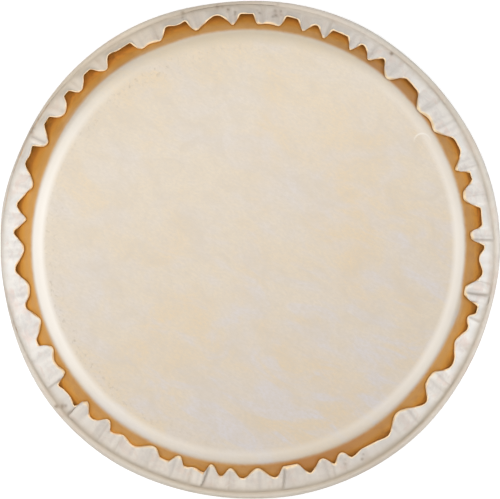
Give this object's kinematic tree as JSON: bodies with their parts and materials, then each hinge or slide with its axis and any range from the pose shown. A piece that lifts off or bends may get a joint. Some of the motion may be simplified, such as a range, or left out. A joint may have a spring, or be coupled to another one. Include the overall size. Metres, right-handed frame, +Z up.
{
  "type": "bongo drumhead",
  "caption": "Loose rawhide head for a small hand drum, tucked round a steel flesh hoop, with a flat batter face, a sloping collar and a ruffled, trimmed flap.",
  "frame": {"origin": "on the head's axis, level with the foot of the wrapped hoop", "axes": "+Z up through the batter face, +X to the right and +Y to the top of the picture"},
  "size_m": [0.208, 0.208, 0.019],
  "materials": {
    "rawhide": "dry rawhide, cream on the face, amber on the collar",
    "hoop_steel": "plain drawn rod"
  },
  "bodies": {
    "root": {"hide": "rawhide", "flesh_hoop": "hoop_steel"}
  },
  "joints": []
}
